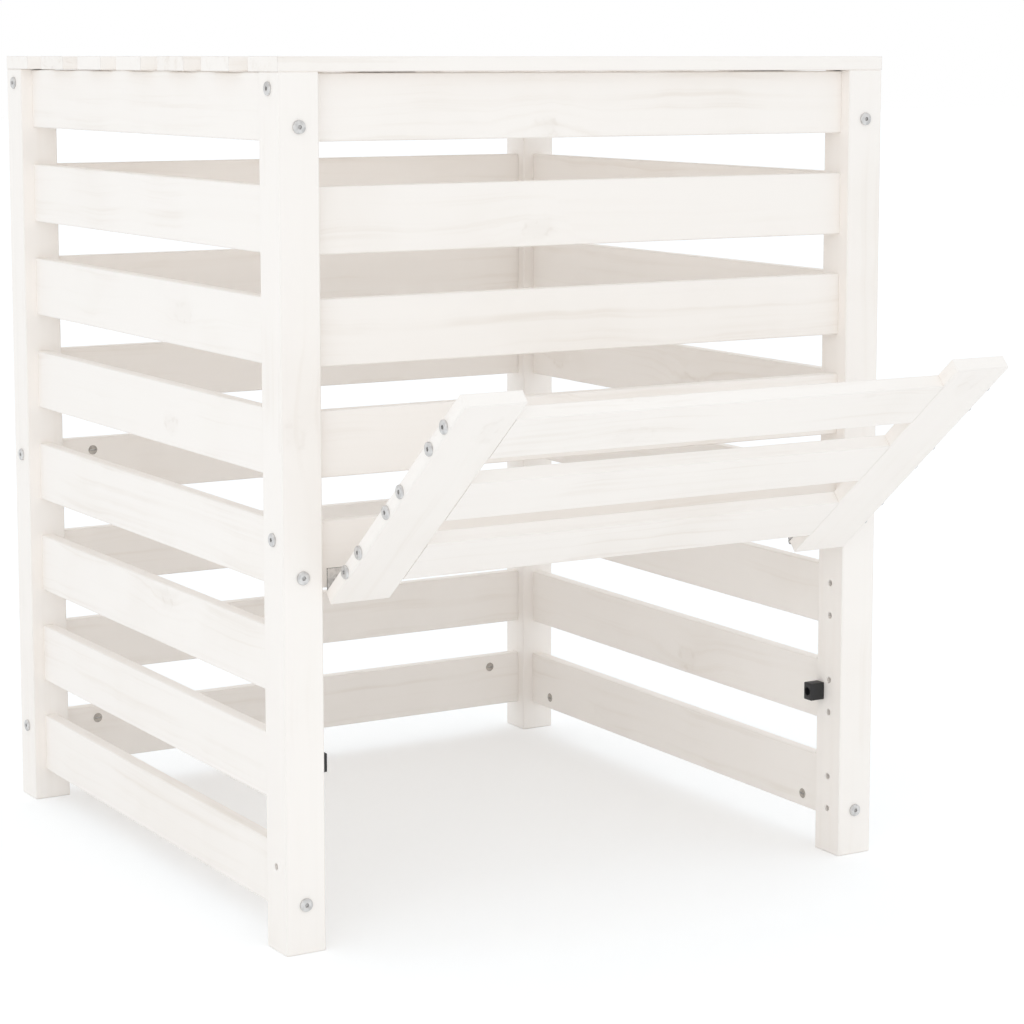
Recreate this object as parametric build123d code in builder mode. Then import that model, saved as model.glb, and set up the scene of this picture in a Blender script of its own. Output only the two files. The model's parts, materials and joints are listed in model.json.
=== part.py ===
from build123d import *
from math import cos, radians, sin
import os

# A slatted compost bin: four posts, four walls of slats, a lid hinged at the back and a flap hinged low
# at the front. Millimetres. The origin is on the floor in the middle of the four posts, X to the right,
# Y to the back, Z up. The flap is drawn open.

# Overall sizes, over the posts and from the floor to the top of the lid
width = 635.0
depth = 635.0
height = 775.0

# Timber sections
post_side = 38.0
board_thick = 13.0
slat_wide = 58.0
eased = 0.8

# Rows of slats, counted from the top
row_count = 8
front_row_count = 5
foot_room = 31.0
lid_room = 1.0

# Flats drawn in place of a circle on the small rounds that repeat: hidden ones, and ones that show
hidden_sides = 6
shown_sides = 12

# Dowels glued into the slat ends
dowel_d = 6.0
dowel_spread = 32.0
dowel_in_post = 12.0
dowel_fit = 0.1
dowel_end_room = 1.0

# Connector bolts through the posts and the barrel nuts in the slats that they pull on
bolted_rows = (1, front_row_count, row_count)
bolt_d = 6.0
bolt_fit = 0.2
head_d = 12.0
head_high = 2.0
nut_d = 10.0
nut_fit = 0.1
nut_skin = 1.0
nut_end_room = 0.5
nut_set_in = 38.0
bolt_past_nut = 3.0
bolt_end_room = 2.0

# Flap: slats between two stiles, hung under the lowest front slat
flap_angle = 130.0
flap_slat_count = row_count - front_row_count
flap_side_gap = 4.0
stile_wide = 58.0
stile_over_top = 31.0
stile_over_foot = 24.0
stile_below_axis = 7.0
axis_below_slat = 4.0
stile_screw_d = 6.0
stile_screw_in_slat = 40.0

# Butt hinges
knuckle_d = 5.0
knuckle_gap = 0.4
knuckle_off_wood = 0.2
pin_d = 3.0
pin_fit = 0.1
leaf_thick = 1.0
flap_leaf_wide = 46.0
flap_leaf_long = 21.0
lid_leaf_wide = 30.0
lid_leaf_long = 11.0

# Lid: slats on two battens
lid_slat_count = 7
batten_wide = 58.0
batten_inset = 120.0
batten_end_gap = 6.0

# Stop blocks behind the closed flap
stop_wide = 16.0
stop_high = 17.0
stop_gap = 0.5
stop_above_row = 4.0
stop_row = row_count - 1
stop_eased = 1.0

# Worked out from the sizes above
post_high = height - board_thick
post_x = (width - post_side) / 2
post_y = (depth - post_side) / 2
row_pitch = (post_high - lid_room - foot_room - slat_wide) / (row_count - 1)
bolt_long = post_side + nut_set_in + nut_d / 2 + bolt_past_nut
bolt_bore_deep = bolt_long - post_side + bolt_end_room
knuckle_off = knuckle_d / 2 + knuckle_off_wood
flap_wide = width - 2 * (post_side + flap_side_gap)
flap_board_mid = -knuckle_off - board_thick / 2
stile_long = stile_over_top + (flap_slat_count - 1) * row_pitch + slat_wide + stile_over_foot

os.makedirs("parts", exist_ok=True)


def save(name, part):
    """Label a finished piece and write it under its own name."""
    part.label = name
    export_step(part, f"parts/{name}.step")


def row_mid(row):
    """Height of the middle of a row of slats above the floor."""
    return foot_room + slat_wide / 2 + (row_count - row) * row_pitch


def ease_along(builder, direction):
    """Take the sharp corners off the edges that run one way."""
    chamfer(builder.edges().filter_by(Axis((0, 0, 0), direction)), eased)


def ease_all(builder):
    """Take the sharp corners off every edge of a plain board."""
    chamfer(builder.edges(), eased)


# Each wall is a plane through the middle of its slats: x runs along the wall, y is up, z points outwards.
# A wall has its length between the posts, its number of slat rows, and which hole of a pair takes the bolt.
walls = {
    "front": (Plane((0, -post_y, 0), x_dir=(1, 0, 0), z_dir=(0, -1, 0)), width, front_row_count, 1),
    "rear": (Plane((0, post_y, 0), x_dir=(-1, 0, 0), z_dir=(0, 1, 0)), width, row_count, 1),
    "left": (Plane((-post_x, 0, 0), x_dir=(0, -1, 0), z_dir=(-1, 0, 0)), depth, row_count, -1),
    "right": (Plane((post_x, 0, 0), x_dir=(0, 1, 0), z_dir=(1, 0, 0)), depth, row_count, -1),
}


def cross_plane(wall):
    """The plane square to a wall's length through its middle, with the wall's outward way as x and up as y."""
    return Plane(wall.origin, x_dir=wall.z_dir, z_dir=-wall.x_dir)


def dowel_heights(row, bolt_side):
    """Heights of the dowels of a row: a bolt takes the place of one of the pair in a bolted row."""
    sides = (-bolt_side,) if row in bolted_rows else (-1, 1)
    return [row_mid(row) + side * dowel_spread / 2 for side in sides]


def bolt_height(row, bolt_side):
    return row_mid(row) + bolt_side * dowel_spread / 2


# Wall slats, each with its dowels, and in the bolted rows with bores for the bolts and their nuts
for wall_name, (wall, wall_long, wall_rows, bolt_side) in walls.items():
    slat_long = wall_long - 2 * post_side
    across = cross_plane(wall)
    for row in range(1, wall_rows + 1):
        with BuildPart() as slat:
            with BuildSketch(wall):
                with Locations((0, row_mid(row))):
                    Rectangle(slat_long, slat_wide)
            extrude(amount=board_thick / 2, both=True)
            ease_along(slat, wall.x_dir)
            with BuildSketch(across):
                with Locations([(0, z) for z in dowel_heights(row, bolt_side)]):
                    RegularPolygon(dowel_d / 2, hidden_sides)
            extrude(amount=slat_long / 2 + dowel_in_post, both=True)
            if row in bolted_rows:
                for end in (-1, 1):
                    with BuildSketch(across.offset(end * slat_long / 2)):
                        with Locations((0, bolt_height(row, bolt_side))):
                            RegularPolygon(bolt_d / 2 + bolt_fit, hidden_sides)
                    extrude(amount=-end * bolt_bore_deep, mode=Mode.SUBTRACT)
                with BuildSketch(wall.offset(-board_thick / 2)):
                    nut_x = slat_long / 2 - nut_set_in
                    with Locations([(x, bolt_height(row, bolt_side)) for x in (-nut_x, nut_x)]):
                        RegularPolygon(nut_d / 2 + nut_fit, hidden_sides)
                extrude(amount=board_thick - nut_skin, mode=Mode.SUBTRACT)
        save(f"{wall_name}_slat_{row}", slat.part)


# Posts. Both inner faces have the whole column of holes, so the front posts also have open holes in the
# rows that the flap takes.
post_corners = {
    "front_left": (-1, -1),
    "front_right": (1, -1),
    "rear_left": (-1, 1),
    "rear_right": (1, 1),
}


def post_faces(side_x, side_y):
    """Inner faces of a post that the cross walls (front or rear) and the side walls (left or right) meet."""
    x, y = side_x * post_x, side_y * post_y
    half = post_side / 2
    facing_x = Plane((x - side_x * half, y, 0), x_dir=(0, -side_x, 0), z_dir=(-side_x, 0, 0))
    facing_y = Plane((x, y - side_y * half, 0), x_dir=(side_y, 0, 0), z_dir=(0, -side_y, 0))
    cross_rows = front_row_count if side_y < 0 else row_count
    return ((facing_x, 1, cross_rows), (facing_y, -1, row_count))


for corner, (side_x, side_y) in post_corners.items():
    with BuildPart() as post:
        with BuildSketch():
            with Locations((side_x * post_x, side_y * post_y)):
                Rectangle(post_side, post_side)
        extrude(amount=post_high)
        ease_all(post)
        for face, bolt_side, filled_rows in post_faces(side_x, side_y):
            filled = range(1, filled_rows + 1)
            empty = range(filled_rows + 1, row_count + 1)
            with BuildSketch(face):
                with Locations([(0, z) for row in filled for z in dowel_heights(row, bolt_side)]):
                    RegularPolygon(dowel_d / 2 + dowel_fit, hidden_sides)
                for row in empty:
                    with Locations([(0, z) for z in dowel_heights(row, bolt_side)]):
                        RegularPolygon(dowel_d / 2 + dowel_fit, shown_sides)
            extrude(amount=-dowel_in_post - dowel_end_room, mode=Mode.SUBTRACT)
            with BuildSketch(face):
                for row in bolted_rows:
                    with Locations((0, bolt_height(row, bolt_side))):
                        if row in filled:
                            RegularPolygon(bolt_d / 2 + bolt_fit, hidden_sides)
                        else:
                            RegularPolygon(bolt_d / 2 + bolt_fit, shown_sides)
            extrude(amount=-post_side, mode=Mode.SUBTRACT)
    save(f"post_{corner}", post.part)


# Connector bolts, with their heads on the outer faces of the posts
with BuildPart() as connector_bolts:
    for side_x, side_y in post_corners.values():
        for face, bolt_side, filled_rows in post_faces(side_x, side_y):
            spots = [(0, bolt_height(row, bolt_side)) for row in bolted_rows if row <= filled_rows]
            outside = face.offset(-post_side)
            with BuildSketch(outside):
                with Locations(spots):
                    RegularPolygon(head_d / 2, shown_sides)
            extrude(amount=-head_high)
            with BuildSketch(outside):
                with Locations(spots):
                    RegularPolygon(bolt_d / 2, hidden_sides)
            extrude(amount=bolt_long)
save("connector_bolts", connector_bolts.part)


# Barrel nuts, let into the slats from the inside of the bin
with BuildPart() as barrel_nuts:
    for wall, wall_long, wall_rows, bolt_side in walls.values():
        nut_x = wall_long / 2 - post_side - nut_set_in
        nut_rows = [row for row in bolted_rows if row <= wall_rows]
        with BuildSketch(wall.offset(-board_thick / 2)):
            with Locations([(x, bolt_height(row, bolt_side)) for x in (-nut_x, nut_x) for row in nut_rows]):
                RegularPolygon(nut_d / 2, hidden_sides)
        extrude(amount=board_thick - nut_skin - nut_end_room)
    for wall, wall_long, wall_rows, bolt_side in walls.values():
        nut_rows = [row for row in bolted_rows if row <= wall_rows]
        with BuildSketch(cross_plane(wall)):
            with Locations([(0, bolt_height(row, bolt_side)) for row in nut_rows]):
                RegularPolygon(bolt_d / 2 + bolt_fit, hidden_sides)
        extrude(amount=wall_long / 2, both=True, mode=Mode.SUBTRACT)
save("barrel_nuts", barrel_nuts.part)


# The flap's plane passes through its hinge line: x along it, y from the flap towards the hinge, z out of
# the flap's outer face. It turns outwards and up from hanging straight down.
flap_axis_y = -post_y - board_thick / 2 - knuckle_off
flap_axis_z = row_mid(front_row_count) - slat_wide / 2 - axis_below_slat
flap_turn = radians(flap_angle)
flap_plane = Plane(
    (0, flap_axis_y, flap_axis_z),
    x_dir=(1, 0, 0),
    z_dir=(0, -cos(flap_turn), sin(flap_turn)),
)
flap_board_plane = flap_plane.offset(flap_board_mid)
flap_slat_long = flap_wide - 2 * stile_wide


def flap_slat_y(number):
    """Place of a flap slat's middle along the flap, from the hinge line."""
    return -stile_below_axis - stile_over_top - slat_wide / 2 - (number - 1) * row_pitch


stile_screw_spots = [
    flap_slat_y(number) + side * dowel_spread / 2
    for number in range(1, flap_slat_count + 1)
    for side in (-1, 1)
]

# Plane square to the hinge line through the middle of the flap's boards, z along +X
flap_cross_plane = Plane(flap_board_plane.origin, x_dir=flap_plane.y_dir, z_dir=(1, 0, 0))

for number in range(1, flap_slat_count + 1):
    with BuildPart() as flap_slat:
        with BuildSketch(flap_board_plane):
            with Locations((0, flap_slat_y(number))):
                Rectangle(flap_slat_long, slat_wide)
        extrude(amount=board_thick / 2, both=True)
        ease_along(flap_slat, (1, 0, 0))
        for end in (-1, 1):
            with BuildSketch(flap_cross_plane.offset(end * flap_slat_long / 2)):
                with Locations([(flap_slat_y(number) + side * dowel_spread / 2, 0) for side in (-1, 1)]):
                    RegularPolygon(stile_screw_d / 2 + bolt_fit, hidden_sides)
            extrude(amount=-end * (stile_screw_in_slat + bolt_end_room), mode=Mode.SUBTRACT)
    save(f"flap_slat_{number}", flap_slat.part)

for side_name, side in (("left", -1), ("right", 1)):
    with BuildPart() as flap_stile:
        with BuildSketch(flap_board_plane):
            with Locations((side * (flap_wide - stile_wide) / 2, -stile_below_axis - stile_long / 2)):
                Rectangle(stile_wide, stile_long)
        extrude(amount=board_thick / 2, both=True)
        ease_all(flap_stile)
        with BuildSketch(flap_cross_plane.offset(side * flap_wide / 2)):
            with Locations([(y, 0) for y in stile_screw_spots]):
                RegularPolygon(stile_screw_d / 2 + bolt_fit, hidden_sides)
        extrude(amount=-side * stile_wide, mode=Mode.SUBTRACT)
    save(f"flap_stile_{side_name}", flap_stile.part)

# Long screws through the edges of the stiles into the ends of the flap's slats
with BuildPart() as flap_stile_screws:
    for side in (-1, 1):
        edge = flap_cross_plane.offset(side * flap_wide / 2)
        spots = [(y, 0) for y in stile_screw_spots]
        with BuildSketch(edge):
            with Locations(spots):
                RegularPolygon(head_d / 2, shown_sides)
        extrude(amount=side * head_high)
        with BuildSketch(edge):
            with Locations(spots):
                RegularPolygon(stile_screw_d / 2, hidden_sides)
        extrude(amount=-side * (stile_wide + stile_screw_in_slat))
save("flap_stile_screws", flap_stile_screws.part)


# Lid slats lie on the posts, flush with them all round
lid_pitch = (depth - slat_wide) / (lid_slat_count - 1)
for number in range(1, lid_slat_count + 1):
    with BuildPart() as lid_slat:
        with BuildSketch(Plane.XY.offset(post_high)):
            with Locations((0, (slat_wide - depth) / 2 + (number - 1) * lid_pitch)):
                Rectangle(width, slat_wide)
        extrude(amount=board_thick)
        ease_along(lid_slat, (1, 0, 0))
    save(f"lid_slat_{number}", lid_slat.part)

batten_long = 2 * (post_y - board_thick / 2 - batten_end_gap)
for side_name, side in (("left", -1), ("right", 1)):
    with BuildPart() as lid_batten:
        with BuildSketch(Plane.XY.offset(post_high)):
            with Locations((side * (width / 2 - batten_inset), 0)):
                Rectangle(batten_wide, batten_long)
        extrude(amount=-board_thick)
        ease_all(lid_batten)
    save(f"lid_batten_{side_name}", lid_batten.part)


# Hinges. A hinge plane lies on its axis: x along the axis, y along the leaf, z away from the wood.
# The fixed leaf has the two outer knuckles and the moving leaf the middle one.
def hinge_leaf(hinge, leaf_wide, leaf_long, fixed):
    """One hinge leaf with its knuckles, bored for the pin."""
    share = leaf_wide / 3
    centres = (-share, share) if fixed else (0,)
    knuckle_long = share - knuckle_gap
    root = knuckle_d / 2 + knuckle_gap
    axis_plane = Plane(hinge.origin, x_dir=hinge.y_dir, z_dir=hinge.x_dir)
    with BuildPart() as leaf:
        with BuildSketch(hinge.offset(-knuckle_off)):
            with Locations((0, root)):
                Rectangle(leaf_wide, leaf_long - root, align=(Align.CENTER, Align.MIN))
            with Locations([(x, 0) for x in centres]):
                Rectangle(knuckle_long, leaf_long, align=(Align.CENTER, Align.MIN))
        extrude(amount=leaf_thick)
        for x in centres:
            with BuildSketch(axis_plane.offset(x)):
                RegularPolygon(knuckle_d / 2, shown_sides)
            extrude(amount=knuckle_long / 2, both=True)
        with BuildSketch(axis_plane):
            RegularPolygon(pin_d / 2 + pin_fit, shown_sides)
        extrude(amount=leaf_wide / 2, both=True, mode=Mode.SUBTRACT)
    return leaf.part


flap_hinge_x = (flap_wide - stile_wide) / 2
lid_axis_y = depth / 2 + knuckle_off
flap_axis_points = [(side * flap_hinge_x, flap_axis_y, flap_axis_z) for side in (-1, 1)]
lid_axis_points = [(side * post_x, lid_axis_y, post_high) for side in (-1, 1)]

# Name, axis points, way along the axis, way away from the wood, leaf width and length, fixed or moving
leaf_sets = (
    ("flap_hinge_frame_leaves", flap_axis_points, (1, 0, 0), (0, -1, 0), flap_leaf_wide, flap_leaf_long, True),
    ("flap_hinge_flap_leaves", flap_axis_points, (-1, 0, 0), flap_plane.z_dir, flap_leaf_wide, flap_leaf_long, False),
    ("lid_hinge_frame_leaves", lid_axis_points, (1, 0, 0), (0, 1, 0), lid_leaf_wide, lid_leaf_long, True),
    ("lid_hinge_lid_leaves", lid_axis_points, (-1, 0, 0), (0, 1, 0), lid_leaf_wide, lid_leaf_long, False),
)
for name, points, along, away, leaf_wide, leaf_long, fixed in leaf_sets:
    leaves = [hinge_leaf(Plane(point, along, away), leaf_wide, leaf_long, fixed) for point in points]
    with BuildPart() as hinge_leaves:
        add(leaves)
    save(name, hinge_leaves.part)

for name, points, leaf_wide in (
    ("flap_hinge_pins", flap_axis_points, flap_leaf_wide),
    ("lid_hinge_pins", lid_axis_points, lid_leaf_wide),
):
    with BuildPart() as hinge_pins:
        for point in points:
            with BuildSketch(Plane(point, x_dir=(0, 1, 0), z_dir=(1, 0, 0))):
                Circle(pin_d / 2)
            extrude(amount=leaf_wide / 2, both=True)
    save(name, hinge_pins.part)


# Stop blocks on the inner faces of the front posts, just behind the closed flap
stop_front = -post_y + board_thick / 2 + stop_gap
stop_deep = -post_y + post_side / 2 - stop_front
stop_mid_z = row_mid(stop_row) + stop_above_row
with BuildPart() as stop_blocks:
    for side in (-1, 1):
        seat = Plane(
            (side * (post_x - post_side / 2), stop_front + stop_deep / 2, stop_mid_z),
            x_dir=(0, -side, 0),
            z_dir=(-side, 0, 0),
        )
        with BuildSketch(seat):
            Rectangle(stop_deep, stop_high)
            chamfer(vertices(), stop_eased)
        extrude(amount=stop_wide)
save("stop_blocks", stop_blocks.part)
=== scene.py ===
import json
from math import cos, pi, radians, sin

import bmesh
import bpy
from mathutils import Matrix, Vector


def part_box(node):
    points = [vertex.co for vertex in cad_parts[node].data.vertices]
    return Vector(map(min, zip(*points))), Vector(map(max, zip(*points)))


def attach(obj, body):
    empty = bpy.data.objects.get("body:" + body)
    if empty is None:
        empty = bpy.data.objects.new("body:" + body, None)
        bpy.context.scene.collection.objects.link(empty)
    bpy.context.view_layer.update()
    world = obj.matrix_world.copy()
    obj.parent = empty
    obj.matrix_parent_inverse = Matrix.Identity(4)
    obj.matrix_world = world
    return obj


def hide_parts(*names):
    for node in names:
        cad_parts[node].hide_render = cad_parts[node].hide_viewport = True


# Looks of a white-painted slatted compost bin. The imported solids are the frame. Metres, +X right, +Y to
# the back, +Z up. The flap stands open at rest.

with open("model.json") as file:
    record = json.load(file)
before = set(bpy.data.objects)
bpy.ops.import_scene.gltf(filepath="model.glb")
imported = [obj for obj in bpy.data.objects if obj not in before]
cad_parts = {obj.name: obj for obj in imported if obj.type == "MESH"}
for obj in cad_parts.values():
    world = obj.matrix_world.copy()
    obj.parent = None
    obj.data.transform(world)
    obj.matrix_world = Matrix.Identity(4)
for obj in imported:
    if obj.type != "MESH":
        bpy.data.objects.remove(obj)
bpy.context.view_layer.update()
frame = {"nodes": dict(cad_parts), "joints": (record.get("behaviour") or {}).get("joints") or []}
nodes = frame["nodes"]
joints = {joint["name"]: joint for joint in frame["joints"]}
scene = bpy.context.scene
mm = 0.001

# Ways that the boards lie
right, back, up = Vector((1, 0, 0)), Vector((0, 1, 0)), Vector((0, 0, 1))
flap_rise = radians(40)
flap_out = Vector((0, -cos(flap_rise), sin(flap_rise)))
flap_face = Vector((0, sin(flap_rise), cos(flap_rise)))


# Shader nodes
def put(tree, value, socket):
    """Set an input to a value, or link it to an output."""
    if isinstance(value, bpy.types.NodeSocket):
        tree.links.new(value, socket)
    else:
        socket.default_value = value


def add_node(tree, kind, inputs=None, **settings):
    """A new shader node with its settings, and with values or links on its inputs."""
    node = tree.nodes.new(kind)
    for name, value in settings.items():
        setattr(node, name, value)
    for name, value in (inputs or {}).items():
        put(tree, value, node.inputs[name])
    return node


def math_node(tree, operation, *values):
    """The result of one sum on values or links."""
    return add_node(tree, "ShaderNodeMath", dict(enumerate(values)), operation=operation).outputs[0]


def multiply(tree, first, second):
    """The product of two values or links."""
    return math_node(tree, "MULTIPLY", first, second)


def add_share(tree, base, share, value):
    """A base with a share of a value added to it."""
    return math_node(tree, "MULTIPLY_ADD", value, share, base)


def ramp(tree, value, levels, results=(0.0, 1.0)):
    """A smooth step from one result to the other as a value goes from one level to the other."""
    inputs = {
        "Value": value,
        "From Min": levels[0],
        "From Max": levels[1],
        "To Min": results[0],
        "To Max": results[1],
    }
    node = add_node(tree, "ShaderNodeMapRange", inputs, interpolation_type="SMOOTHSTEP")
    return node.outputs["Result"]


def mix_colour(tree, share, first, second):
    """A colour between two others."""
    node = add_node(tree, "ShaderNodeMix", {"Factor": share}, data_type="RGBA")
    colours = [socket for socket in node.inputs if socket.type == "RGBA"]
    for socket, colour in zip(colours, (first, second)):
        put(tree, colour, socket)
    return next(socket for socket in node.outputs if socket.type == "RGBA")


def object_place(tree):
    """The place on the object, in metres."""
    return add_node(tree, "ShaderNodeTexCoord").outputs["Object"]


def map_place(tree, place, **change):
    """A place that is turned or stretched."""
    return add_node(tree, "ShaderNodeMapping", {"Vector": place, **change}).outputs["Vector"]


def noise(tree, place, detail, scale=1.0, roughness=0.5):
    """A cloudy pattern from 0 to 1."""
    inputs = {"Vector": place, "Scale": scale, "Detail": detail, "Roughness": roughness}
    return add_node(tree, "ShaderNodeTexNoise", inputs).outputs["Fac"]


def edge_normal(tree, radius, samples=4):
    """The way that a surface faces, with its edges rounded."""
    return add_node(tree, "ShaderNodeBevel", {"Radius": radius}, samples=samples).outputs["Normal"]


def add_bump(tree, shader, height, strength, distance, **inputs):
    """Raise a surface by a pattern."""
    inputs.update(Height=height, Strength=strength, Distance=distance)
    put(tree, add_node(tree, "ShaderNodeBump", inputs).outputs["Normal"], shader.inputs["Normal"])


def new_material(name):
    """A material with its node tree and its main shader."""
    material = bpy.data.materials.new(name)
    material.use_nodes = True
    tree = material.node_tree
    return material, tree, tree.nodes["Principled BSDF"]


def scaled(colour, share):
    """A colour made darker or paler."""
    return tuple(share * channel for channel in colour[:3]) + (1,)


# Materials. Scales count repeats in a metre, and levels lie in the range of a pattern.
sheen_levels = (0.3, 0.7)

# Pine under thin white paint
paint = (0.955, 0.903, 0.853, 1)
paint_over_late_wood = (0.86, 0.79, 0.72, 1)
paint_over_knot = (0.66, 0.58, 0.50, 1)
pine_detail = 3.0
cloud_scale = 7.0

# Knots, at most one in each cell of a pattern: how the cells lie, and which of their draws give a knot
knot_cell = 0.15
cells_along_for_one_across = 0.6
cell_shift_through = 3.7
cell_scatter = 0.9
drawn_levels = (0.45, 1.0)

# Forms of the knots. Their levels are distances from the middle, counted in cells.
drawn_shrink = 0.04
uneven_scale = 70.0
uneven_share = 0.12
patch_levels = (0.17, 0.10)
patch_shares = (0.0, 0.5)
rim_outer_levels = (0.15, 0.125)
rim_inner_levels = (0.10, 0.12)
swirl_levels = (0.38, 0.08)

# Breaks in the rims of the knots
break_shift = (0.37, 0.91, 0.53)
break_scale = 110.0
break_detail = 1.0
break_levels = (0.48, 0.66)

# Grain, and how far the knots and the clouds push it aside
grain_along = 2.2
grain_across = 110.0
grain_roughness = 0.6
knot_push = 14 * mm
cloud_push = 20 * mm
fibre_scale = (6, 420, 420)

# How far the wood shows through the paint
streak_levels = (0.48, 0.75)
streak_cloud_levels = (0.38, 0.66)
streak_cloud_shares = (0.1, 0.75)
worn_levels = (0.45, 0.8)
worn_share = 0.3
knot_share = 0.2

# Soft edges and raised grain
edge_round = 1.2 * mm
edge_samples = 6
fibre_share = 0.5
grain_bump = 0.12
grain_high = 0.25 * mm
pine_roughness = (0.52, 0.68)


def pine_knots(tree, board, axes, figure):
    """Uneven patches with a darker rim, other ones on each face, and the swirl of grain round them."""
    cell_place = add_node(tree, "ShaderNodeCombineXYZ", {
        "X": multiply(tree, axes["X"], cells_along_for_one_across),
        "Y": add_share(tree, axes["Y"], cell_shift_through, axes["Z"]),
    }).outputs["Vector"]
    cells = add_node(tree, "ShaderNodeTexVoronoi", {
        "Vector": cell_place,
        "Scale": 1 / knot_cell,
        "Randomness": cell_scatter,
    }, voronoi_dimensions="2D").outputs
    draws = add_node(tree, "ShaderNodeSeparateColor", {"Color": cells["Color"]}).outputs
    unevenness = noise(tree, board, pine_detail, uneven_scale)
    uneven = add_share(tree, cells["Distance"], uneven_share, unevenness)
    distance = add_share(tree, uneven, drawn_shrink, draws["Green"])
    strong = ramp(tree, draws["Red"], drawn_levels, (0.0, figure))
    patch = ramp(tree, distance, patch_levels, patch_shares)
    outer, inner = ramp(tree, distance, rim_outer_levels), ramp(tree, distance, rim_inner_levels)
    ring = multiply(tree, outer, inner)
    break_place = add_node(tree, "ShaderNodeVectorMath", {0: board, 1: break_shift}).outputs["Vector"]
    breaks = noise(tree, break_place, break_detail, break_scale)
    rim = multiply(tree, ring, ramp(tree, breaks, break_levels))
    knot = multiply(tree, math_node(tree, "ADD", patch, rim), strong)
    swirl = multiply(tree, ramp(tree, distance, swirl_levels), strong)
    return knot, swirl


def pine_grain(tree, board, axes, clouds, swirl):
    """Streaks of uneven width and length, pushed aside round the knots, and fine fibres."""
    pushed = add_share(tree, axes["Y"], knot_push, swirl)
    drift = add_share(tree, pushed, cloud_push, clouds)
    grain_place = add_node(tree, "ShaderNodeCombineXYZ", {
        "X": multiply(tree, axes["X"], grain_along),
        "Y": multiply(tree, drift, grain_across),
        "Z": multiply(tree, axes["Z"], grain_across),
    }).outputs["Vector"]
    grain = noise(tree, grain_place, pine_detail, roughness=grain_roughness)
    fibres = noise(tree, map_place(tree, board, Scale=fibre_scale), pine_detail)
    return grain, fibres


def painted_pine(name, along, face, figure):
    """Thin white paint on pine, with faint broken grain and with knots that the grain runs round."""
    material, tree, shader = new_material(name)
    turn = Matrix((along, face.cross(along), face)).to_euler()
    board = map_place(tree, object_place(tree), Rotation=turn)
    axes = add_node(tree, "ShaderNodeSeparateXYZ", {"Vector": board}).outputs
    clouds = noise(tree, board, pine_detail, cloud_scale)
    knot, swirl = pine_knots(tree, board, axes, figure)
    grain, fibres = pine_grain(tree, board, axes, clouds, swirl)

    streak_strength = ramp(tree, clouds, streak_cloud_levels, streak_cloud_shares)
    streaks = multiply(tree, ramp(tree, grain, streak_levels), streak_strength)
    worn = multiply(tree, ramp(tree, clouds, worn_levels), worn_share)
    colour = mix_colour(tree, multiply(tree, streaks, figure), paint, paint_over_late_wood)
    colour = mix_colour(tree, worn, colour, paint_over_late_wood)
    colour = mix_colour(tree, multiply(tree, knot, knot_share), colour, paint_over_knot)
    put(tree, colour, shader.inputs["Base Color"])

    height = math_node(tree, "ADD", grain, multiply(tree, fibres, fibre_share))
    soft = edge_normal(tree, edge_round, edge_samples)
    add_bump(tree, shader, height, grain_bump, grain_high, Normal=soft)
    put(tree, ramp(tree, fibres, sheen_levels, pine_roughness), shader.inputs["Roughness"])
    return material


# Zinc on steel
zinc_cloud_scale = 220.0
zinc_cloud_detail = 2.0
zinc_cloud_levels = (0.35, 0.7)
zinc_cloud_shade = 0.78
mark_detail = 4.0
mark_bump = 0.15
mark_high = 0.05 * mm
mark_smoother = 0.08
mark_rougher = 0.1
# Painted shade along the edges of the hinge leaves: its colour, where it fades in, and how finely the
# edges are found
painted_edge_shade = (0.06, 0.058, 0.055, 1)
painted_edge_shade_levels = (0.97, 0.85)
painted_edge_shade_samples = 8


def plated_steel(name, colour, roughness, mark_scale, painted_edge_shade_width=0.0):
    """Zinc on steel, with a cloudy sheen and fine marks, and with painted shade along its edges where a
    width for it is given.
    """
    material, tree, shader = new_material(name)
    place = object_place(tree)
    marks = noise(tree, map_place(tree, place, Scale=mark_scale), mark_detail)
    clouds = noise(tree, place, zinc_cloud_detail, zinc_cloud_scale)
    darker = scaled(colour, zinc_cloud_shade)
    shade = mix_colour(tree, ramp(tree, clouds, zinc_cloud_levels), colour, darker)
    # Painted shade: edges turn dark where the rounded normal turns away from the sharp one
    if painted_edge_shade_width:
        sharp, soft = edge_normal(tree, 0.0), edge_normal(tree, painted_edge_shade_width, painted_edge_shade_samples)
        turn = add_node(tree, "ShaderNodeVectorMath", {0: sharp, 1: soft}, operation="DOT_PRODUCT")
        shade = mix_colour(tree, ramp(tree, turn.outputs["Value"], painted_edge_shade_levels), shade, painted_edge_shade)
    put(tree, shade, shader.inputs["Base Color"])
    sheen = ramp(tree, marks, sheen_levels, (roughness - mark_smoother, roughness + mark_rougher))
    put(tree, sheen, shader.inputs["Roughness"])
    add_bump(tree, shader, marks, mark_bump, mark_high)
    shader.inputs["Metallic"].default_value = 1.0
    return material


# Moulded plastic
mould_scale = 1400.0
mould_detail = 3.0
mould_levels = (0.4, 0.8)
mould_paler = 1.6
mould_bump = 0.3
mould_high = 0.1 * mm
mould_roughness = (0.42, 0.6)


def moulded_plastic(name, colour):
    """Black plastic with a fine moulded texture."""
    material, tree, shader = new_material(name)
    grain = noise(tree, object_place(tree), mould_detail, mould_scale)
    shade = mix_colour(tree, ramp(tree, grain, mould_levels), colour, scaled(colour, mould_paler))
    put(tree, shade, shader.inputs["Base Color"])
    put(tree, ramp(tree, grain, sheen_levels, mould_roughness), shader.inputs["Roughness"])
    add_bump(tree, shader, grain, mould_bump, mould_high)
    return material


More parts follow.
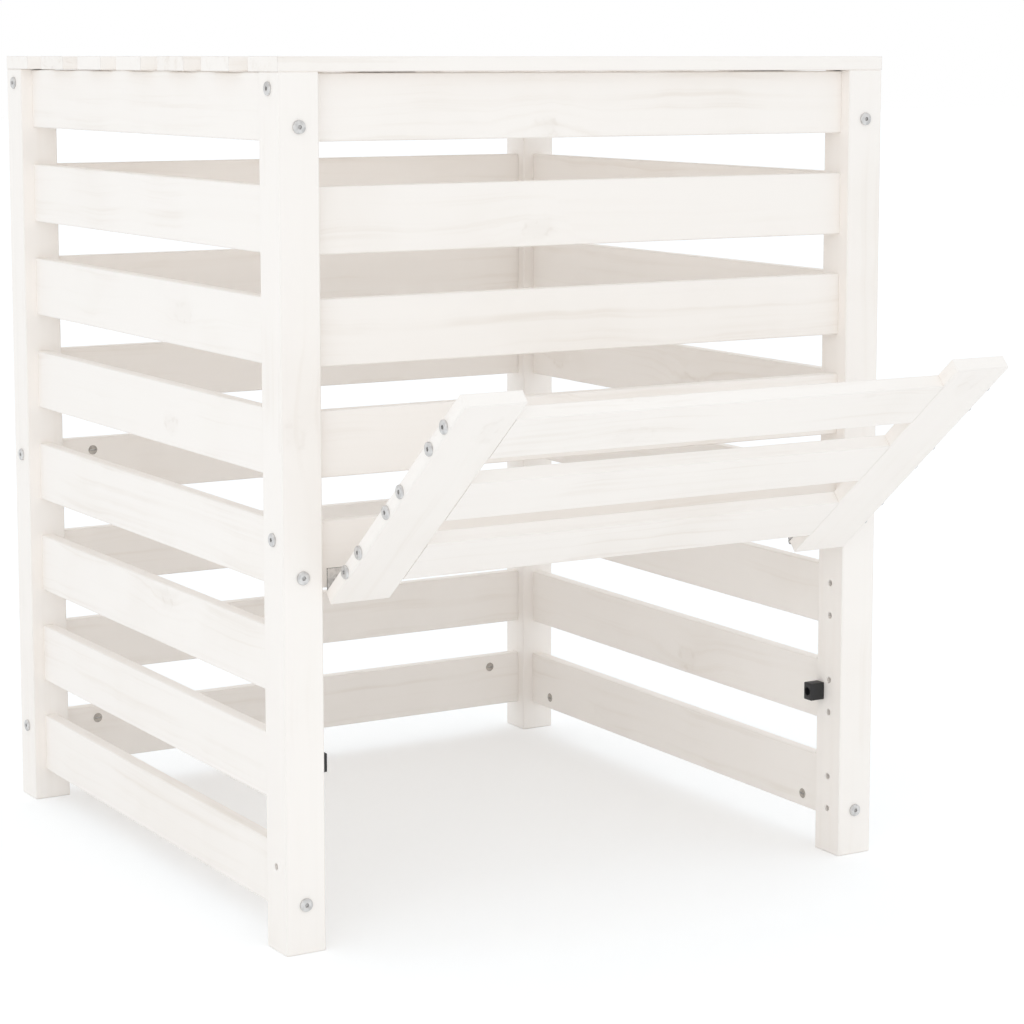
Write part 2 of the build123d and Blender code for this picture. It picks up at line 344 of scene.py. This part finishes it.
# Boards by the way that they run and face. Posts and stiles show less of their figure.
plain_figure, faint_figure = 1.0, 0.5
pine = {
    "wide": painted_pine("pine_wide", right, back, plain_figure),
    "deep": painted_pine("pine_deep", back, right, plain_figure),
    "upright": painted_pine("pine_upright", up, back, faint_figure),
    "lid": painted_pine("pine_lid", right, up, plain_figure),
    "batten": painted_pine("pine_batten", back, up, plain_figure),
    "flap": painted_pine("pine_flap", right, flap_face, plain_figure),
    "stile": painted_pine("pine_stile", flap_out, flap_face, faint_figure),
}
zinc = plated_steel(
    "zinc", colour=(0.70, 0.69, 0.68, 1), roughness=0.42, mark_scale=(600, 600, 600))
# Heads and slots take a darker zinc in their recesses: painted shade
zinc_recess_painted_shade = plated_steel(
    "zinc_recess_painted_shade", colour=(0.62, 0.61, 0.60, 1), roughness=0.55, mark_scale=(900, 900, 900))
# The barrel nuts are steel. Their darker, browner tone is painted shade and a painted reflection of the
# beige inside of the bin.
nut_steel_painted_shade = plated_steel(
    "nut_steel_painted_shade", colour=(0.50, 0.46, 0.42, 1), roughness=0.5, mark_scale=(700, 700, 700))
# The hinge leaves take painted shade along their edges
hinge_steel = plated_steel(
    "hinge_steel", colour=(0.86, 0.85, 0.84, 1), roughness=0.45, mark_scale=(60, 900, 900),
    painted_edge_shade_width=1.1 * mm)
black_plastic = moulded_plastic("black_plastic", colour=(0.012, 0.012, 0.013, 1))

# Which boards and fittings take which material, by the start of their names
finishes = (
    ("post_", pine["upright"]),
    ("front_slat", pine["wide"]),
    ("rear_slat", pine["wide"]),
    ("left_slat", pine["deep"]),
    ("right_slat", pine["deep"]),
    ("lid_slat", pine["lid"]),
    ("lid_batten", pine["batten"]),
    ("flap_slat", pine["flap"]),
    ("flap_stile_l", pine["stile"]),
    ("flap_stile_r", pine["stile"]),
    ("flap_stile_screws", zinc),
    ("connector_bolts", zinc),
    ("barrel_nuts", nut_steel_painted_shade),
    ("stop_blocks", black_plastic),
    ("flap_hinge", hinge_steel),
    ("lid_hinge", hinge_steel),
)
for node_name, node in nodes.items():
    finish = next(material for start, material in finishes if node_name.startswith(start))
    node.data.materials.clear()
    node.data.materials.append(finish)

# Small fittings
same_point = 0.001 * mm
sort_digits = 5
fitting_sides = 24
rim_steps = 3
sharp_angle = radians(35)


def solids_of(node_name):
    """Middle and size of each separate solid of a node, in a steady order."""
    mesh = bmesh.new()
    mesh.from_mesh(nodes[node_name].data)
    bmesh.ops.remove_doubles(mesh, verts=mesh.verts, dist=same_point)
    left, boxes = set(mesh.verts), []
    while left:
        waiting, solid = [left.pop()], []
        while waiting:
            vert = waiting.pop()
            solid.append(vert.co.copy())
            for edge in vert.link_edges:
                other = edge.other_vert(vert)
                if other in left:
                    left.remove(other)
                    waiting.append(other)
        low = Vector([min(place[i] for place in solid) for i in range(3)])
        high = Vector([max(place[i] for place in solid) for i in range(3)])
        boxes.append((low, high))
    mesh.free()
    boxes.sort(key=lambda box: tuple(round(value, sort_digits) for value in box[0]))
    return [((low + high) / 2, high - low) for low, high in boxes]


def facing(point, outward):
    """Matrix that stands a fitting on a point with its axis along a way outwards."""
    return Matrix.Translation(point) @ outward.to_track_quat("Z", "Y").to_matrix().to_4x4()


def bridge(mesh, lower, upper, material=0):
    """Faces between two loops of points, either of which may be a single point."""
    for i in range(max(len(lower), len(upper))):
        corners = []
        for loop, order in ((lower, (i, i + 1)), (upper, (i + 1, i))):
            for j in order:
                vert = loop[j % len(loop)]
                if vert not in corners:
                    corners.append(vert)
        mesh.faces.new(corners).material_index = material


def loop_at(mesh, matrix, outline, height):
    """A loop of points from an outline at a height along a fitting's axis."""
    return [mesh.verts.new(matrix @ Vector((x, y, height))) for x, y in outline]


def round_outline(radius, start=0.0):
    """Points round a circle, from a start angle."""
    angles = [start + 2 * pi * i / fitting_sides for i in range(fitting_sides)]
    return [(radius * cos(angle), radius * sin(angle)) for angle in angles]


def straight_outline(corners):
    """Points shared out evenly over the sides of a closed outline, as many as a round one has."""
    parts = fitting_sides // len(corners)
    points = []
    for (x0, y0), (x1, y1) in zip(corners, corners[1:] + corners[:1]):
        points += [(x0 + (x1 - x0) * i / parts, y0 + (y1 - y0) * i / parts) for i in range(parts)]
    return points


# Outlines of recesses that reach 1 from the middle. A cross is one arm, turned by quarters.
slot_half = 0.2
arm_half = 0.3
hexagon = [(cos(i * pi / 3), sin(i * pi / 3)) for i in range(6)]
slot = [(1, -slot_half), (1, slot_half), (-1, slot_half), (-1, -slot_half)]
arm = [(1, -arm_half), (1, arm_half), (arm_half, arm_half)]
quarters = ((1, 0), (0, 1), (-1, 0), (0, -1))
cross = [(x * c - y * s, x * s + y * c) for c, s in quarters for x, y in arm]

# The same outlines with the turn of the round rim that matches their first corner
recesses = {"hexagon": (hexagon, 0.0), "slot": (slot, -pi / 4), "cross": (cross, -pi / 12)}
recess_taper = 0.85
recess_tip = 1.2


def recessed_fitting(mesh, matrix, profile, recess, reach, deep):
    """A turned fitting, from a point on its axis up to the rim of its end face, with a recess there."""
    shape, start = recesses[recess]
    loop = [mesh.verts.new(matrix @ Vector((0, 0, profile[0][1])))]
    for radius, height in profile[1:]:
        above = loop_at(mesh, matrix, round_outline(radius, start), height)
        bridge(mesh, loop, above)
        loop = above
    top = profile[-1][1]
    outline = straight_outline([(x * reach, y * reach) for x, y in shape])
    foot_outline = [(recess_taper * x, recess_taper * y) for x, y in outline]
    mouth = loop_at(mesh, matrix, outline, top)
    foot = loop_at(mesh, matrix, foot_outline, top - deep)
    tip = loop_at(mesh, matrix, [(0, 0)], top - recess_tip * deep)
    bridge(mesh, loop, mouth)
    bridge(mesh, mouth, foot, 1)
    bridge(mesh, foot, tip, 1)


def rounded_rim(radius, top, easing):
    """Profile points of an end face's rounded edge."""
    turns = [i * pi / 2 / rim_steps for i in range(rim_steps + 1)]
    return [(radius - easing + easing * cos(t), top - easing + easing * sin(t)) for t in turns]


def add_object(name, data):
    """A new object in the scene."""
    new_object = bpy.data.objects.new(name, data)
    scene.collection.objects.link(new_object)
    return new_object


def finish_piece(mesh, name, body, materials):
    """Make the piece, shade its rounds smooth, and let it ride on its body."""
    bmesh.ops.recalc_face_normals(mesh, faces=mesh.faces)
    for face in mesh.faces:
        face.smooth = True
    for edge in mesh.edges:
        edge.smooth = edge.calc_face_angle(0.0) < sharp_angle
    data = bpy.data.meshes.new(name)
    mesh.to_mesh(data)
    mesh.free()
    for material in materials:
        data.materials.append(material)
    piece = add_object(name, data)
    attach(piece, body)
    return piece


# Connector bolts and the flap's long screws: low round heads with a hexagon socket
head_radius = 6 * mm
head_high = 2 * mm
head_round = 0.8 * mm
shank_radius = 3 * mm
socket_reach = 2.1 * mm
socket_deep = 1.5 * mm
for node_name, body in (("connector_bolts", "frame"), ("flap_stile_screws", "flap")):
    bolts = bmesh.new()
    for middle, size in solids_of(node_name):
        axis = max(range(3), key=lambda i: size[i])
        side = 1 if middle[axis] > 0 else -1
        outward = side * (right, back, up)[axis]
        seat = middle + outward * (size[axis] / 2 - head_high)
        shank_long = size[axis] - head_high
        profile = [(0, -shank_long), (shank_radius, -shank_long), (shank_radius, 0), (head_radius, 0)]
        profile += rounded_rim(head_radius, head_high, head_round)
        recessed_fitting(bolts, facing(seat, outward), profile, "hexagon", socket_reach, socket_deep)
    piece = finish_piece(bolts, node_name + "_round", body, (zinc, zinc_recess_painted_shade))
    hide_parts(node_name)

# Barrel nuts: round, slotted, and nearly flush with the inner faces of the slats
nut_radius = 5 * mm
nut_proud = 0.2 * mm
nut_round = 0.4 * mm
nut_slot_reach = 3.6 * mm
nut_slot_deep = 1.2 * mm
nuts = bmesh.new()
for middle, size in solids_of("barrel_nuts"):
    axis = 0 if abs(middle.x) > abs(middle.y) else 1
    inward = -(right, back)[axis] * (1 if middle[axis] > 0 else -1)
    seat = middle + inward * size[axis] / 2
    profile = [(0, -size[axis]), (nut_radius, -size[axis])]
    profile += rounded_rim(nut_radius, nut_proud, nut_round)
    recessed_fitting(nuts, facing(seat, inward), profile, "slot", nut_slot_reach, nut_slot_deep)
nuts_piece = finish_piece(nuts, "barrel_nuts_round", "frame", (nut_steel_painted_shade, zinc_recess_painted_shade))
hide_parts("barrel_nuts")

# Countersunk screws. The reach of their cross is a share of their radius.
screw_proud = 0.3 * mm
screw_round = 0.25 * mm
cross_share = 0.55
cross_deep = 0.7 * mm


def countersunk_screw(mesh, point, outward, radius):
    """A flat screw head let in from a surface, with a cross recess."""
    profile = [(0, -radius)] + rounded_rim(radius, screw_proud, screw_round)
    recessed_fitting(mesh, facing(point, outward), profile, "cross", cross_share * radius, cross_deep)


# Hinge screws. A leaf lies along a way from its hinge's axis, with its outer face set back from it.
leaf_set_back = 1.7 * mm
flap_screw_reach, flap_screw_spread, flap_screw_radius = 12 * mm, 15 * mm, 3 * mm
lid_screw_reach, lid_screw_spread, lid_screw_radius = 7 * mm, 10 * mm, 2.4 * mm
flap_screw = (flap_screw_reach, flap_screw_spread, flap_screw_radius)
lid_screw = (lid_screw_reach, lid_screw_spread, lid_screw_radius)
for node_name, joint, body, along, outward, (reach, spread, radius) in (
    ("flap_hinge_frame_leaves", "flap_hinge", "frame", up, -back, flap_screw),
    ("flap_hinge_flap_leaves", "flap_hinge", "flap", flap_out, flap_face, flap_screw),
    ("lid_hinge_frame_leaves", "lid_hinge", "frame", -up, back, lid_screw),
    ("lid_hinge_lid_leaves", "lid_hinge", "lid", up, back, lid_screw),
):
    leaf_screws = bmesh.new()
    pivot = Vector(joints[joint]["pos_m"])
    for middle, _ in solids_of(node_name):
        for side in (-1, 1):
            point = pivot + along * reach - outward * leaf_set_back
            point.x = middle.x + side * spread
            countersunk_screw(leaf_screws, point, outward, radius)
    finish_piece(leaf_screws, node_name + "_screws", body, (zinc, zinc_recess_painted_shade))

# Screws through the battens into the slats of the lid
batten_screw_spread = 15 * mm
batten_screw_end = 14 * mm
batten_screw_radius = 3.5 * mm
batten_screws = bmesh.new()
for batten in ("lid_batten_left", "lid_batten_right"):
    batten_low, batten_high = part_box(batten)
    furthest = batten_high.y - batten_screw_end
    for slat in (name for name in nodes if name.startswith("lid_slat")):
        slat_low, slat_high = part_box(slat)
        y = max(-furthest, min(furthest, (slat_low.y + slat_high.y) / 2))
        for side in (-1, 1):
            x = (batten_low.x + batten_high.x) / 2 + side * batten_screw_spread
            countersunk_screw(batten_screws, Vector((x, y, batten_low.z)), -up, batten_screw_radius)
finish_piece(batten_screws, "lid_batten_screws", "lid", (zinc, zinc_recess_painted_shade))

# Stop blocks with a sunk hole for their screw
block_round = 1 * mm
block_round_steps = 3
round_profile = 0.5
sink_radius = 4 * mm
sink_deep = 7 * mm
block_screw_radius = 3.6 * mm


def sunk_block(middle, size, inward):
    """A block with rounded edges and a round hole in its inner face."""
    block = bmesh.new()
    bmesh.ops.create_cube(block, matrix=Matrix.Translation(middle) @ Matrix.Diagonal((*size, 1)))
    bmesh.ops.bevel(
        block, geom=block.edges, offset=block_round, segments=block_round_steps, profile=round_profile,
        affect="EDGES")
    face = max(block.faces, key=lambda f: f.calc_center_median().dot(inward))
    rim_edges = list(face.edges)
    bmesh.ops.delete(block, geom=[face], context="FACES_ONLY")
    matrix = facing(middle + inward * size.x / 2, inward)
    mouth = loop_at(block, matrix, round_outline(sink_radius), 0)
    mouth_edges = [block.edges.new((a, b)) for a, b in zip(mouth, mouth[1:] + mouth[:1])]
    bmesh.ops.triangle_fill(block, edges=rim_edges + mouth_edges, use_beauty=True)
    hole_foot = loop_at(block, matrix, round_outline(sink_radius), -sink_deep)
    bridge(block, mouth, hole_foot)
    bridge(block, hole_foot, loop_at(block, matrix, [(0, 0)], -sink_deep))
    return block


def add_mesh(mesh, other):
    """Add another mesh to a mesh, and free it."""
    scratch = bpy.data.meshes.new("scratch")
    other.to_mesh(scratch)
    other.free()
    mesh.from_mesh(scratch)
    bpy.data.meshes.remove(scratch)


blocks, block_screws = bmesh.new(), bmesh.new()
for middle, size in solids_of("stop_blocks"):
    inward = right if middle.x < 0 else -right
    add_mesh(blocks, sunk_block(middle, size, inward))
    hole_foot_place = middle + inward * (size.x / 2 - sink_deep)
    countersunk_screw(block_screws, hole_foot_place, inward, block_screw_radius)
blocks_piece = finish_piece(blocks, "stop_blocks_sunk", "frame", (black_plastic,))
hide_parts("stop_blocks")
finish_piece(block_screws, "stop_block_screws", "frame", (zinc, zinc_recess_painted_shade))

# Camera
camera_place = (-1.3345, -2.4116, 0.7751)
camera_yaw = radians(30.709)
camera_pitch = radians(7.072)
camera_data = bpy.data.cameras.new("camera")
camera_data.sensor_width = 36
camera_data.lens = 97.29
camera_data.shift_y = -0.11
camera_data.clip_end = 100
camera = add_object("camera", camera_data)
camera.location = camera_place
camera.rotation_euler = (pi / 2 - camera_pitch, 0, -camera_yaw)
scene.camera = camera


def seen(tree):
    """1 for what the camera sees, also in reflections and through glass, and 0 for other light."""
    rays = add_node(tree, "ShaderNodeLightPath").outputs
    looked_at = math_node(tree, "MAXIMUM", rays["Is Camera Ray"], rays["Is Glossy Ray"])
    return math_node(tree, "MAXIMUM", looked_at, rays["Is Transmission Ray"])


# Floor, white to the camera outside the shadow
white = (1, 1, 1, 1)
floor_size = 60.0
floor_colour = (0.95, 0.95, 0.95, 1)
floor_glow = 0.12
half = floor_size / 2
floor_corners = [(-half, -half, 0), (half, -half, 0), (half, half, 0), (-half, half, 0)]
floor_data = bpy.data.meshes.new("floor")
floor_data.from_pydata(floor_corners, [], [(0, 1, 2, 3)])
floor = add_object("floor", floor_data)
floor_material, floor_tree, floor_shader = new_material("floor")
floor_shader.inputs["Base Color"].default_value = floor_colour
floor_shader.inputs["Roughness"].default_value = 1.0
floor_shader.inputs["Specular IOR Level"].default_value = 0.0
floor_shader.inputs["Emission Color"].default_value = white
seen_glow = multiply(floor_tree, seen(floor_tree), floor_glow)
put(floor_tree, seen_glow, floor_shader.inputs["Emission Strength"])
floor_data.materials.append(floor_material)

# Studio light: a cool even surround that shows as white, a large soft light from the front left, and
# faint ones that shine up under the lid and the flap
daylight = (0.968, 1.002, 1.029, 1)
horizon_light = 0.97
overhead_light = 1.0
shown_light = 1.0
world = bpy.data.worlds.new("studio")
world.use_nodes = True
world_tree = world.node_tree
surround = world_tree.nodes["Background"]
sky = add_node(world_tree, "ShaderNodeTexCoord").outputs["Generated"]
sky_height = add_node(world_tree, "ShaderNodeSeparateXYZ", {"Vector": sky}).outputs["Z"]
level = ramp(world_tree, sky_height, (0.0, 1.0), (horizon_light, overhead_light))
sky_seen = seen(world_tree)
strength = add_node(world_tree, "ShaderNodeMix", {"Factor": sky_seen, "A": level, "B": shown_light})
put(world_tree, mix_colour(world_tree, sky_seen, daylight, white), surround.inputs["Color"])
put(world_tree, strength.outputs["Result"], surround.inputs["Strength"])
scene.world = world

# Name, place, aim, width in metres and power in watts of each light
soft_lights = (
    ("key", (-2.6, -2.6, 1.5), (0, 0, 0.35), 2.0, 10),
    ("lid_fill", (0, 0, 0.54), (0, 0, 0.7), 0.45, 0.15),
    ("flap_fill", (0, -0.62, 0.1), (0, -0.43, 0.42), 0.5, 0.12),
)
for name, place, aim, size, power in soft_lights:
    light_data = bpy.data.lights.new(name, "AREA")
    light_data.size = size
    light_data.energy = power
    light_data.color = daylight[:3]
    light = add_object(name, light_data)
    light.location = place
    light.rotation_euler = (Vector(aim) - Vector(place)).to_track_quat("-Z", "Y").to_euler()
    light.visible_camera = False

scene.view_settings.view_transform = "Standard"
